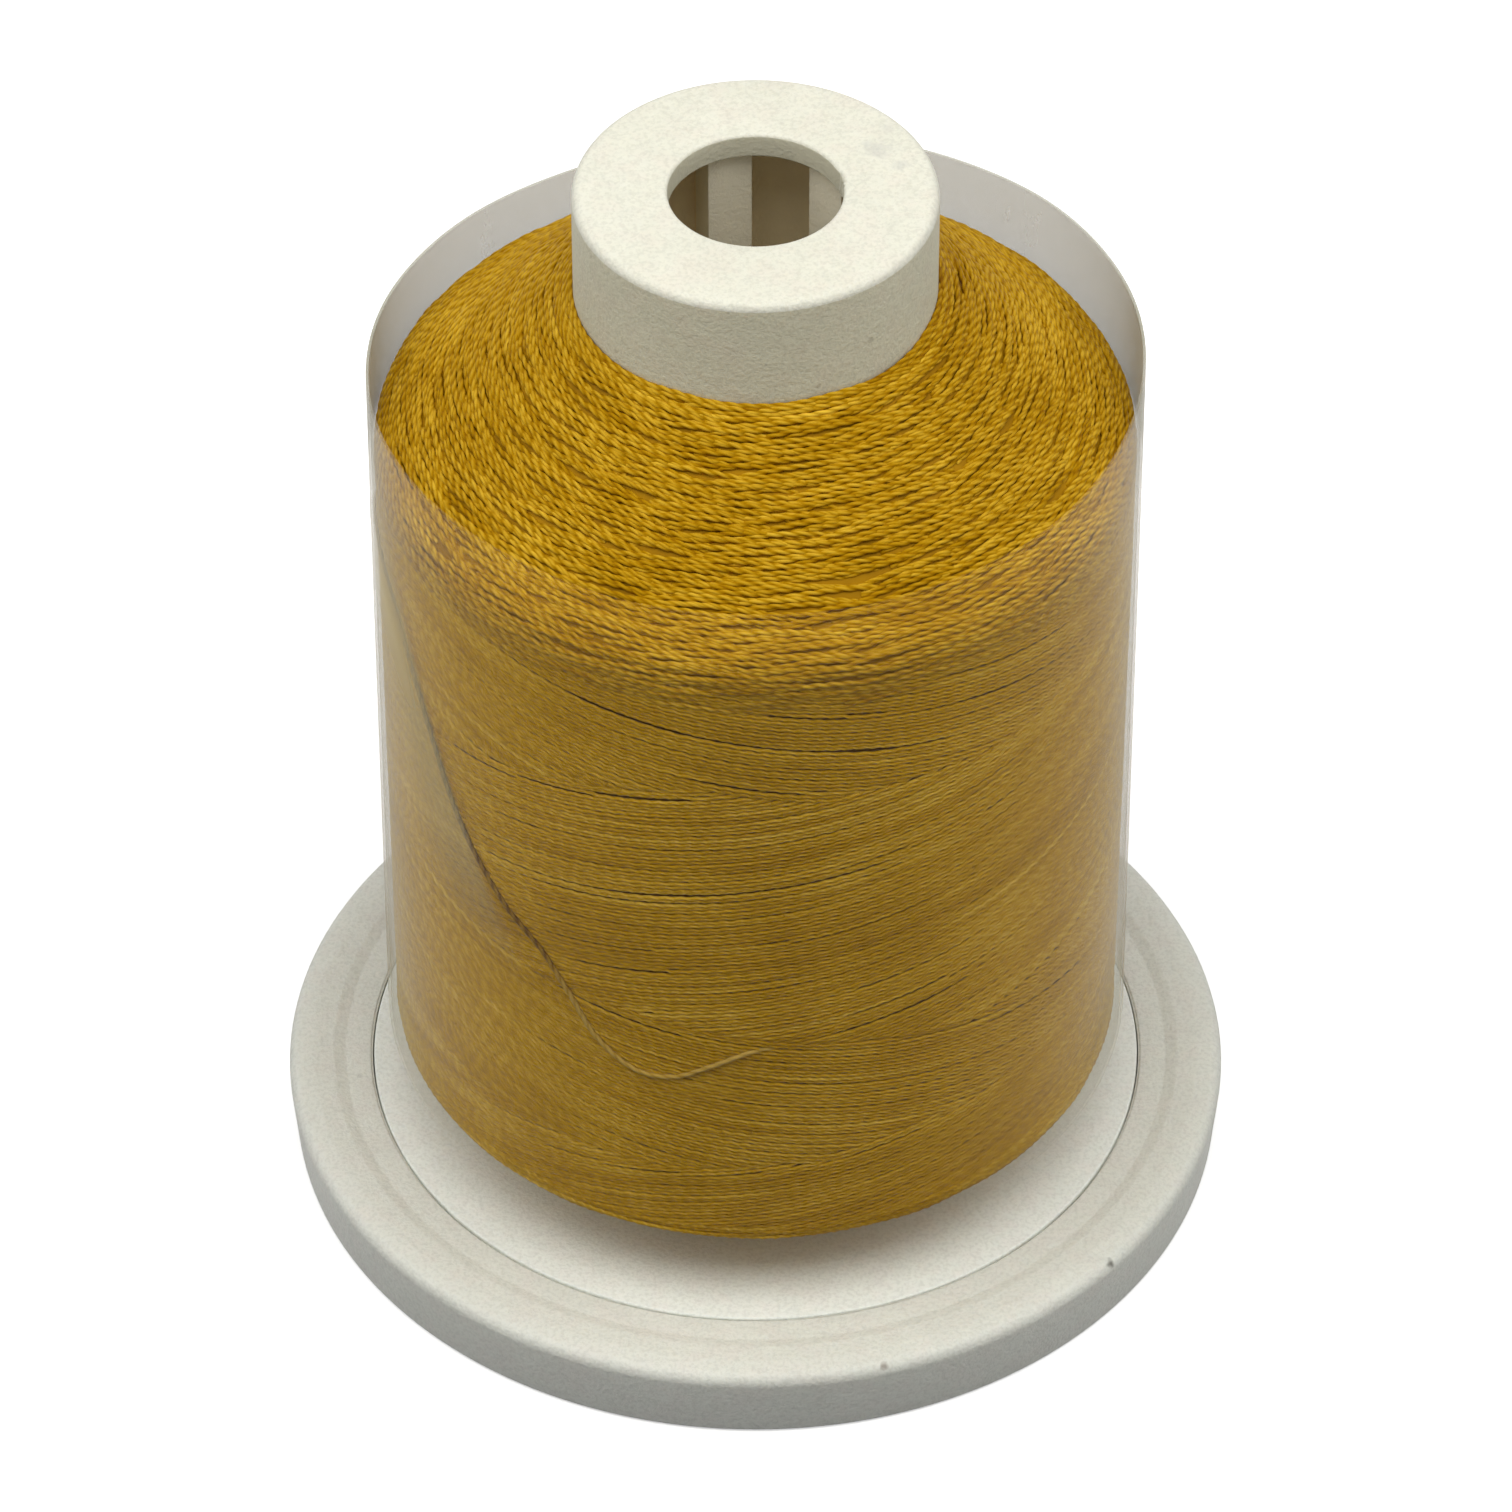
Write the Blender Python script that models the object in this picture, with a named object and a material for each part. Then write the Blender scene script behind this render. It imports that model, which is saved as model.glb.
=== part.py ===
"""A spool of sewing and embroidery thread, standing upright on its base.

The spool is a moulded core (a hollow barrel with a bored top plate, six inner
ribs and a round lower flange) wound with a cross-wound package of thread that
has a conical shoulder.  A separate base snaps up over the flange; it can be
pulled open a few millimetres to trap the loose end of the thread in the seam.
A thin clear film sleeve slips over the winding and holds the thread's tail.

Frame: metres, +Z up along the spindle axis, origin at the centre of the
surface that the base stands on, -Y is the side where the tail shows.
"""

import math

import bmesh
import bpy
from mathutils import Vector

MM = 0.001

# ---------------------------------------------------------------- dimensions
# All in millimetres.
SEGMENTS = 72                # facets round the large turned parts

BASE_RADIUS = 25.46          # snap-fit base, outside, before its edge is rounded
BASE_FOOT_RADIUS = 25.1      # outside at the foot, so the side has a little draft
BASE_HEIGHT = 4.39           # top of the raised rim
BASE_LAND_Z = 4.10           # land beside the seam, level with the flange
BASE_FLOOR_Z = 2.30          # floor of the recess that takes the flange
BASE_WEB_Z = 1.10            # ceiling of the hollow underneath
RECESS_RADIUS = 21.00        # wall of the recess
FOOT_INNER_RADIUS = 22.6
HUB_RADIUS = 7.35            # snap hub inside the barrel
HUB_BORE_RADIUS = 4.90
HUB_TOP_Z = 8.0
HUB_BEAD = 0.25              # height of the snap bead
HUB_FOOT_RADIUS = 9.0
WEB_COUNT = 8                # stiffening webs underneath
WEB_THICKNESS = 1.0

COLLAR_RADIUS = 9.16         # barrel and bare collar, outside
COLLAR_TOP_Z = 63.33
COLLAR_FILLET = 0.48
BORE_RADIUS = 4.38           # spindle hole in the top plate
TOP_PLATE = 1.40             # thickness of the top plate
BARREL_BORE_RADIUS = 7.75    # inside of the barrel
RIB_COUNT = 6
RIB_WIDTH = 2.25
RIB_INNER_RADIUS = 4.95      # ribs stop just behind the bore's edge
RIB_BOTTOM_Z = 9.2
RIB_FIRST_DEG = 105.0
FLANGE_RADIUS = 20.80
FLANGE_TOP_Z = 4.10
FLANGE_BOTTOM_Z = 2.60
FLANGE_FILLET = 0.12

WIND_INNER_RADIUS = 9.46     # 0.3 mm clear of the barrel
WIND_TOP_Z = 57.10           # thread meets the collar
WIND_SHOULDER_Z = 48.1       # cone meets the side
WIND_TOP_RADIUS = 19.00      # side, at the shoulder
WIND_FOOT_RADIUS = 19.20     # side, at the lower edge
WIND_FOOT_Z = 8.5            # lower edge of the side
WIND_BOTTOM_Z = 4.6          # underside, at the barrel
SHOULDER_ROUND = 2.6
FOOT_ROUND = 0.9

THREAD_DIAMETER = 0.26
TAIL_LIFT = 0.08             # clearance between the tail and the winding

SLEEVE_TOP_RADIUS = 19.72    # outside, upper end
SLEEVE_FOOT_RADIUS = 19.92   # outside, lower end
SLEEVE_WALL = 0.22
SLEEVE_BOTTOM_Z = 8.3
SLEEVE_TOP_Z = 52.23         # mean height of the cut upper edge
SLEEVE_TILT = 0.70           # once-round rise of the upper edge
SLEEVE_TILT_DEG = -51.4
SLEEVE_WAVE = 0.456          # twice-round wave of the upper edge
SLEEVE_WAVE_DEG = 21.0


# ------------------------------------------------------------------- helpers
def clear_scene():
    for obj in list(bpy.data.objects):
        bpy.data.objects.remove(obj, do_unlink=True)
    for mesh in list(bpy.data.meshes):
        bpy.data.meshes.remove(mesh)
    for curve in list(bpy.data.curves):
        bpy.data.curves.remove(curve)


def material(name, colour, roughness, metallic=0.0, alpha=1.0):
    mat = bpy.data.materials.new(name)
    mat.use_nodes = True
    shader = mat.node_tree.nodes["Principled BSDF"]
    shader.inputs["Base Color"].default_value = (*colour, 1.0)
    shader.inputs["Roughness"].default_value = roughness
    shader.inputs["Metallic"].default_value = metallic
    shader.inputs["Alpha"].default_value = alpha
    mat.diffuse_color = (*colour, alpha)
    return mat


def rounded(corners):
    """Round the corners of a closed (r, z) outline.

    Each corner is (r, z, radius); a zero radius keeps it sharp.  The arc is
    tangent to both neighbouring edges, and a larger radius gets more steps.
    """
    out = []
    count = len(corners)
    for i, (r, z, radius) in enumerate(corners):
        here = Vector((r, z))
        if radius <= 0:
            out.append((r, z))
            continue
        before = Vector(corners[i - 1][:2]) - here
        after = Vector(corners[(i + 1) % count][:2]) - here
        a, b = before.normalized(), after.normalized()
        half = a.angle(b) / 2
        reach = min(radius / math.tan(half), 0.49 * before.length, 0.49 * after.length)
        true_radius = reach * math.tan(half)
        centre = here + (a + b).normalized() * (true_radius / math.sin(half))
        start = here + a * reach - centre
        end = here + b * reach - centre
        turn = math.atan2(start.x * end.y - start.y * end.x, start.dot(end))
        steps = 1 if radius < 0.3 else 2 if radius < 0.8 else 3 if radius < 2 else 5
        for k in range(steps + 1):
            t = turn * k / steps
            c, s = math.cos(t), math.sin(t)
            out.append((centre.x + start.x * c - start.y * s,
                        centre.y + start.x * s + start.y * c))
    return out


def turned(name, outline, mat, segments=SEGMENTS, sharp_deg=32.0):
    """Spin a closed (r, z) outline, in millimetres, once round the Z axis."""
    bm = bmesh.new()
    verts = [bm.verts.new((r * MM, 0.0, z * MM)) for r, z in outline]
    edges = [bm.edges.new((verts[i], verts[(i + 1) % len(verts)]))
             for i in range(len(verts))]
    bmesh.ops.spin(bm, geom=verts + edges, cent=(0, 0, 0), axis=(0, 0, 1),
                   angle=2 * math.pi, steps=segments, use_merge=True)
    bmesh.ops.remove_doubles(bm, verts=bm.verts, dist=1e-7)
    bmesh.ops.recalc_face_normals(bm, faces=bm.faces)
    return finish(name, bm, mat, sharp_deg)


def finish(name, bm, mat, sharp_deg=32.0):
    mesh = bpy.data.meshes.new(name)
    bm.to_mesh(mesh)
    bm.free()
    mesh.materials.append(mat)
    mesh.shade_smooth()
    mesh.set_sharp_from_angle(angle=math.radians(sharp_deg))
    obj = bpy.data.objects.new(name, mesh)
    bpy.context.scene.collection.objects.link(obj)
    return obj


def radial_bars(name, count, first_deg, inner, outer, width, z_low, z_high):
    """Straight bars standing out from the axis, as one guide object."""
    bm = bmesh.new()
    for i in range(count):
        a = math.radians(first_deg + 360.0 * i / count)
        out = Vector((math.cos(a), math.sin(a), 0))
        side = Vector((-math.sin(a), math.cos(a), 0))
        base = []
        for r, w in ((inner, -1), (outer, -1), (outer, 1), (inner, 1)):
            p = out * (r * MM) + side * (w * width / 2 * MM)
            p.z = z_low * MM
            base.append(bm.verts.new(p))
        face = bm.faces.new(base)
        lifted = bmesh.ops.extrude_face_region(bm, geom=[face])["geom"]
        bmesh.ops.translate(bm, vec=(0, 0, (z_high - z_low) * MM),
                            verts=[g for g in lifted if isinstance(g, bmesh.types.BMVert)])
    bmesh.ops.recalc_face_normals(bm, faces=bm.faces)
    mesh = bpy.data.meshes.new(name)
    bm.to_mesh(mesh)
    bm.free()
    obj = bpy.data.objects.new(name, mesh)
    obj.hide_render = True
    obj.display_type = "WIRE"
    bpy.context.scene.collection.objects.link(obj)
    return obj


def join_guide(obj, guide):
    mod = obj.modifiers.new("join_" + guide.name, "BOOLEAN")
    mod.operation = "UNION"
    mod.solver = "EXACT"
    mod.object = guide
    return mod


def smooth_path(points, count):
    """Evenly spaced points on a Catmull-Rom curve through (angle, z) points."""
    padded = [points[0]] + list(points) + [points[-1]]
    fine = []
    for i in range(1, len(padded) - 2):
        p0, p1, p2, p3 = padded[i - 1:i + 3]
        for k in range(40):
            t = k / 40
            fine.append(tuple(
                0.5 * (2 * b + (c - a) * t + (2 * a - 5 * b + 4 * c - d) * t * t
                       + (3 * b - a - 3 * c + d) * t ** 3)
                for a, b, c, d in zip(p0, p1, p2, p3)))
    fine.append(points[-1])
    scale = math.radians(1) * WIND_FOOT_RADIUS
    run = [0.0]
    for p, q in zip(fine, fine[1:]):
        run.append(run[-1] + math.hypot((q[0] - p[0]) * scale, q[1] - p[1]))
    out, j = [], 0
    for k in range(count):
        want = run[-1] * k / (count - 1)
        while j < len(run) - 2 and run[j + 1] < want:
            j += 1
        span = run[j + 1] - run[j]
        t = 0.0 if span == 0 else min(1.0, max(0.0, (want - run[j]) / span))
        out.append(tuple(a + (b - a) * t for a, b in zip(fine[j], fine[j + 1])))
    return out


def winding_radius(z):
    """Radius of the winding's side at a height, between its two edges."""
    t = (z - WIND_FOOT_Z) / (WIND_SHOULDER_Z - WIND_FOOT_Z)
    return WIND_FOOT_RADIUS + (WIND_TOP_RADIUS - WIND_FOOT_RADIUS) * t


def sleeve_top(angle):
    """Height of the film's cut upper edge at an angle round the axis."""
    return (SLEEVE_TOP_Z
            + SLEEVE_TILT * math.cos(angle - math.radians(SLEEVE_TILT_DEG))
            + SLEEVE_WAVE * math.cos(2 * (angle - math.radians(SLEEVE_WAVE_DEG))))


# --------------------------------------------------------------------- parts
def make_snap_base(mat):
    """Base cap: rim, recess for the flange, snap hub, foot ring and webs."""
    bead_z = HUB_TOP_Z - 1.1
    outline = rounded([
        (HUB_BORE_RADIUS, HUB_TOP_Z, 0.35),
        (HUB_RADIUS, HUB_TOP_Z, 0.45),
        (HUB_RADIUS, bead_z + 0.35, 0),
        (HUB_RADIUS + HUB_BEAD, bead_z + 0.1, 0),
        (HUB_RADIUS + HUB_BEAD, bead_z - 0.15, 0),
        (HUB_RADIUS, bead_z - 0.4, 0),
        (HUB_RADIUS, BASE_FLOOR_Z, 0.3),
        (RECESS_RADIUS, BASE_FLOOR_Z, 0),
        (RECESS_RADIUS, BASE_LAND_Z, 0.12),
        (22.35, BASE_LAND_Z + 0.02, 0.6),
        (23.0, BASE_HEIGHT - 0.08, 0.9),
        (24.1, BASE_HEIGHT, 1.5),
        (BASE_RADIUS, BASE_HEIGHT - 0.12, 0.95),
        (BASE_FOOT_RADIUS, 0.0, 0.35),
        (FOOT_INNER_RADIUS, 0.0, 0.2),
        (FOOT_INNER_RADIUS - 0.15, BASE_WEB_Z, 0),
        (HUB_FOOT_RADIUS, BASE_WEB_Z, 0),
        (HUB_FOOT_RADIUS - 0.1, 0.3, 0.15),
        (HUB_BORE_RADIUS + 0.6, 0.3, 0),
        (HUB_BORE_RADIUS, 0.9, 0),
    ])
    obj = turned("snap_base", outline, mat)
    webs = radial_bars("base_web_guide", WEB_COUNT, 22.5, HUB_FOOT_RADIUS - 0.7,
                       FOOT_INNER_RADIUS + 0.5, WEB_THICKNESS, 0.35,
                       BASE_WEB_Z + 0.4)
    join_guide(obj, webs)
    return obj


def make_spool_core(mat):
    """Barrel with bored top plate, inner ribs, snap groove and flange."""
    ceiling = COLLAR_TOP_Z - TOP_PLATE
    outline = rounded([
        (BORE_RADIUS, COLLAR_TOP_Z, 0.22),
        (COLLAR_RADIUS, COLLAR_TOP_Z, COLLAR_FILLET),
        (COLLAR_RADIUS, FLANGE_TOP_Z, 0.25),
        (FLANGE_RADIUS, FLANGE_TOP_Z, FLANGE_FILLET),
        (FLANGE_RADIUS, FLANGE_BOTTOM_Z, FLANGE_FILLET),
        (BARREL_BORE_RADIUS, FLANGE_BOTTOM_Z, 0.2),
        (BARREL_BORE_RADIUS, 6.2, 0),
        (BARREL_BORE_RADIUS + 0.3, 6.5, 0),
        (BARREL_BORE_RADIUS + 0.3, 7.6, 0),
        (BARREL_BORE_RADIUS, 7.9, 0),
        (BARREL_BORE_RADIUS, ceiling, 0.3),
        (BORE_RADIUS, ceiling, 0.12),
    ])
    obj = turned("spool_core", outline, mat)
    ribs = radial_bars("rib_guide", RIB_COUNT, RIB_FIRST_DEG, RIB_INNER_RADIUS,
                       BARREL_BORE_RADIUS + 0.5, RIB_WIDTH, RIB_BOTTOM_Z,
                       ceiling + 0.5)
    join_guide(obj, ribs)
    return obj


def make_winding(mat):
    """Cross-wound package: conical shoulder, near-straight side, tapered foot."""
    outline = rounded([
        (WIND_INNER_RADIUS, WIND_TOP_Z, 0),
        (WIND_INNER_RADIUS + 0.35, WIND_TOP_Z, 0.2),
        (WIND_TOP_RADIUS, WIND_SHOULDER_Z, SHOULDER_ROUND),
        (WIND_FOOT_RADIUS, WIND_FOOT_Z, FOOT_ROUND),
        (WIND_INNER_RADIUS + 1.2, WIND_BOTTOM_Z, 0.5),
        (WIND_INNER_RADIUS, WIND_BOTTOM_Z, 0),
    ])
    return turned("thread_winding", outline, mat, sharp_deg=50.0)


def make_tail(mat):
    """Loose end of the thread, laid over the winding inside the sleeve."""
    # (degrees round the axis, height): it leaves the winding at the front,
    # dips, then climbs round the side towards the shoulder.
    route = [(-74.0, 22.4), (-84.0, 22.7), (-91.0, 22.3), (-97.0, 21.2),
             (-102.5, 20.2), (-108.7, 20.2), (-115.0, 21.8), (-119.5, 24.2),
             (-124.5, 26.5), (-131.0, 28.2), (-138.4, 30.8), (-143.8, 33.4),
             (-148.5, 36.3), (-153.8, 39.0), (-161.0, 41.6), (-172.0, 43.2),
             (-186.0, 44.0)]
    curve = bpy.data.curves.new("thread_tail", "CURVE")
    curve.dimensions = "3D"
    curve.bevel_depth = THREAD_DIAMETER / 2 * MM
    curve.bevel_resolution = 2
    curve.use_fill_caps = True
    path = smooth_path(route, 76)
    spline = curve.splines.new("POLY")
    spline.points.add(len(path) - 1)
    for point, (deg, z) in zip(spline.points, path):
        a = math.radians(deg)
        r = winding_radius(z) + TAIL_LIFT + THREAD_DIAMETER / 2
        point.co = (r * math.cos(a) * MM, r * math.sin(a) * MM, z * MM, 1)
    spline.use_smooth = True
    curve.materials.append(mat)
    obj = bpy.data.objects.new("thread_tail", curve)
    bpy.context.scene.collection.objects.link(obj)
    return obj


def make_sleeve(mat):
    """Thin film tube, slightly wider at the foot, with an uneven cut top."""
    bm = bmesh.new()
    rows = 2
    def radius(z):
        t = (z - SLEEVE_BOTTOM_Z) / (SLEEVE_TOP_Z - SLEEVE_BOTTOM_Z)
        return SLEEVE_FOOT_RADIUS + (SLEEVE_TOP_RADIUS - SLEEVE_FOOT_RADIUS) * t
    rings = []
    for k in range(rows + 1):                      # outer wall, upwards
        rings.append([(k / rows, 0.0)] * SEGMENTS)
    for k in range(rows, -1, -1):                  # inner wall, downwards
        rings.append([(k / rows, SLEEVE_WALL)] * SEGMENTS)
    made = []
    for ring in rings:
        row = []
        for i, (share, inset) in enumerate(ring):
            a = 2 * math.pi * i / SEGMENTS
            z = SLEEVE_BOTTOM_Z + (sleeve_top(a) - SLEEVE_BOTTOM_Z) * share
            r = radius(z) - inset
            row.append(bm.verts.new((r * math.cos(a) * MM, r * math.sin(a) * MM, z * MM)))
        made.append(row)
    for j in range(len(made)):
        low, high = made[j], made[(j + 1) % len(made)]
        for i in range(SEGMENTS):
            n = (i + 1) % SEGMENTS
            bm.faces.new((low[i], low[n], high[n], high[i]))
    bmesh.ops.recalc_face_normals(bm, faces=bm.faces)
    return finish("clear_sleeve", bm, mat)


def empty_at(name, z):
    marker = bpy.data.objects.new(name, None)
    marker.location = (0, 0, z * MM)
    bpy.context.scene.collection.objects.link(marker)
    return marker


def main():
    clear_scene()
    white = material("white_styrene", (0.80, 0.79, 0.70), 0.55)
    white_base = material("white_styrene_base", (0.74, 0.74, 0.66), 0.55)
    gold = material("gold_thread", (0.46, 0.24, 0.012), 0.5)
    gold_tail = material("gold_thread_tail", (0.50, 0.27, 0.03), 0.5)
    film = material("clear_film", (0.92, 0.92, 0.90), 0.12, alpha=0.3)

    base = make_snap_base(white_base)
    core = make_spool_core(white)
    winding = make_winding(gold)
    tail = make_tail(gold_tail)
    sleeve = make_sleeve(film)

    # The spool lifts out of the base along +Z, and the sleeve off the spool.
    spool_slide = empty_at("spool_slide", 0.0)
    sleeve_slide = empty_at("sleeve_slide", 0.0)
    sleeve_slide.parent = spool_slide
    for obj in (core, winding, tail):
        obj.parent = spool_slide
    sleeve.parent = sleeve_slide
    return base


main()
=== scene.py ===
"""The looks of the spool of thread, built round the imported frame: real strands of
two-ply thread, turned white mouldings, a thin clear film and soft studio light."""

import math

import bpy
import numpy as np
from mathutils import Matrix, Vector


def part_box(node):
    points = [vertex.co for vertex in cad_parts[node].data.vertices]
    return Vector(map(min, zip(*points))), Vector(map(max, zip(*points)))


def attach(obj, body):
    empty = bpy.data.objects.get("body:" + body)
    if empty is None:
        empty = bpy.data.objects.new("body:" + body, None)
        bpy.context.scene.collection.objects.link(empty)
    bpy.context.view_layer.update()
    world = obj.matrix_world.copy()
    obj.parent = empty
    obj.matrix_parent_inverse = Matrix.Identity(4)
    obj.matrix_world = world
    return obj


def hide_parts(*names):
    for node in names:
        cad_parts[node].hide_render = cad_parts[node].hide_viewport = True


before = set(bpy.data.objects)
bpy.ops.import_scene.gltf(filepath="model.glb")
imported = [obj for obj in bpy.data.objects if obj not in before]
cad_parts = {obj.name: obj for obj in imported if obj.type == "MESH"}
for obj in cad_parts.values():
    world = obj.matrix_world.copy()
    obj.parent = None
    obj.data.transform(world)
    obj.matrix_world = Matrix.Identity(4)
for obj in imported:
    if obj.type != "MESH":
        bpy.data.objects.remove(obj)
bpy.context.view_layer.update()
MM = 0.001
TAU = 2 * math.pi

# ------------------------------------------------------------------ geometry of the frame, in mm
WIND_LO, WIND_HI = (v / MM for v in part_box("thread_winding"))
CORE_LO, CORE_HI = (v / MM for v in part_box("spool_core"))
BASE_LO, BASE_HI = (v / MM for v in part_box("snap_base"))
FILM_LO, FILM_HI = (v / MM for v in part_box("clear_sleeve"))
COLLAR_TOP = CORE_HI.z                    # 63.33
COLLAR_R = 9.16
SIDE_R = WIND_HI.x                        # 19.2, at the lower edge
THREAD = 0.25                             # thread diameter as laid
CENTRE_OUT = -0.03                        # strand centres, from the CAD winding's surface


# ------------------------------------------------------------------ small tools
def rounded(corners, closed=True, steps=8):
    """Dense (r, z) outline with its corners rounded; each corner is (r, z, radius)."""
    out, n = [], len(corners)
    for i, (r, z, radius) in enumerate(corners):
        if radius <= 0 or (not closed and i in (0, n - 1)):
            out.append((r, z))
            continue
        here = np.array((r, z), float)
        a = np.array(corners[i - 1][:2], float) - here
        b = np.array(corners[(i + 1) % n][:2], float) - here
        la, lb = np.linalg.norm(a), np.linalg.norm(b)
        a, b = a / la, b / lb
        half = math.acos(max(-1, min(1, float(a @ b)))) / 2
        reach = min(radius / math.tan(half), 0.49 * la, 0.49 * lb)
        rad = reach * math.tan(half)
        mid = (a + b) / np.linalg.norm(a + b)
        c = here + mid * (rad / math.sin(half))
        s, e = here + a * reach - c, here + b * reach - c
        turn = math.atan2(s[0] * e[1] - s[1] * e[0], float(s @ e))
        for k in range(steps + 1):
            t = turn * k / steps
            out.append((c[0] + s[0] * math.cos(t) - s[1] * math.sin(t),
                        c[1] + s[0] * math.sin(t) + s[1] * math.cos(t)))
    return out


def new_mesh(name, verts, quads, attributes=None, uvs=None, smooth=True, sharp=None):
    """A mesh object from arrays: verts in mm, quads as index rows."""
    verts = np.asarray(verts, np.float32) * MM
    quads = np.asarray(quads, np.int32)
    me = bpy.data.meshes.new(name)
    me.vertices.add(len(verts))
    me.vertices.foreach_set("co", verts.ravel())
    me.loops.add(quads.size)
    me.loops.foreach_set("vertex_index", quads.ravel())
    me.polygons.add(len(quads))
    me.polygons.foreach_set("loop_start", np.arange(0, quads.size, 4, dtype=np.int32))
    me.polygons.foreach_set("use_smooth", np.full(len(quads), smooth))
    for key, values in (attributes or {}).items():
        layer = me.attributes.new(key, "FLOAT", "POINT")
        layer.data.foreach_set("value", np.asarray(values, np.float32))
    for key, values in (uvs or {}).items():
        layer = me.uv_layers.new(name=key)
        layer.uv.foreach_set("vector", np.asarray(values, np.float32).ravel())
    me.update(calc_edges=True)
    me.validate()
    if sharp is not None:
        me.set_sharp_from_angle(angle=math.radians(sharp))
    ob = bpy.data.objects.new(name, me)
    bpy.context.scene.collection.objects.link(ob)
    return ob


def turned(name, outline, segments, mat, sharp=38.0, shift=None):
    """A closed outline spun once round Z, faces out."""
    prof = np.array(outline, float)
    area = 0.5 * np.sum(prof[:, 0] * np.roll(prof[:, 1], -1) - np.roll(prof[:, 0], -1) * prof[:, 1])
    if area < 0:
        prof = prof[::-1]
    m = len(prof)
    a = np.arange(segments) * TAU / segments
    verts = np.stack([np.outer(np.cos(a), prof[:, 0]), np.outer(np.sin(a), prof[:, 0]),
                      np.tile(prof[:, 1], (segments, 1))], -1)
    if shift is not None:
        verts = shift(verts)
    i, j = np.meshgrid(np.arange(segments), np.arange(m), indexing="ij")
    ni, nj = (i + 1) % segments, (j + 1) % m
    quads = np.stack([i * m + j, ni * m + j, ni * m + nj, i * m + nj], -1).reshape(-1, 4)
    ob = new_mesh(name, verts.reshape(-1, 3), quads, sharp=sharp)
    ob.data.materials.append(mat)
    return ob


def wander(rng, n, step, scale):
    """Smooth random values along a line of n points: unit spread, features about scale long."""
    k = int(n * step / scale) + 6
    knots = rng.normal(size=k)
    x = np.arange(n) * step / scale + 1.0
    i = np.floor(x).astype(int)
    t = x - i
    p0, p1, p2, p3 = knots[i - 1], knots[i], knots[i + 1], knots[i + 2]
    return 0.5 * (2 * p1 + (p2 - p0) * t + (2 * p0 - 5 * p1 + 4 * p2 - p3) * t ** 2
                  + (3 * p1 - p0 - 3 * p2 + p3) * t ** 3)


def ease(x, a, b):
    t = np.clip((x - a) / (b - a), 0, 1)
    return t * t * (3 - 2 * t)


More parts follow.
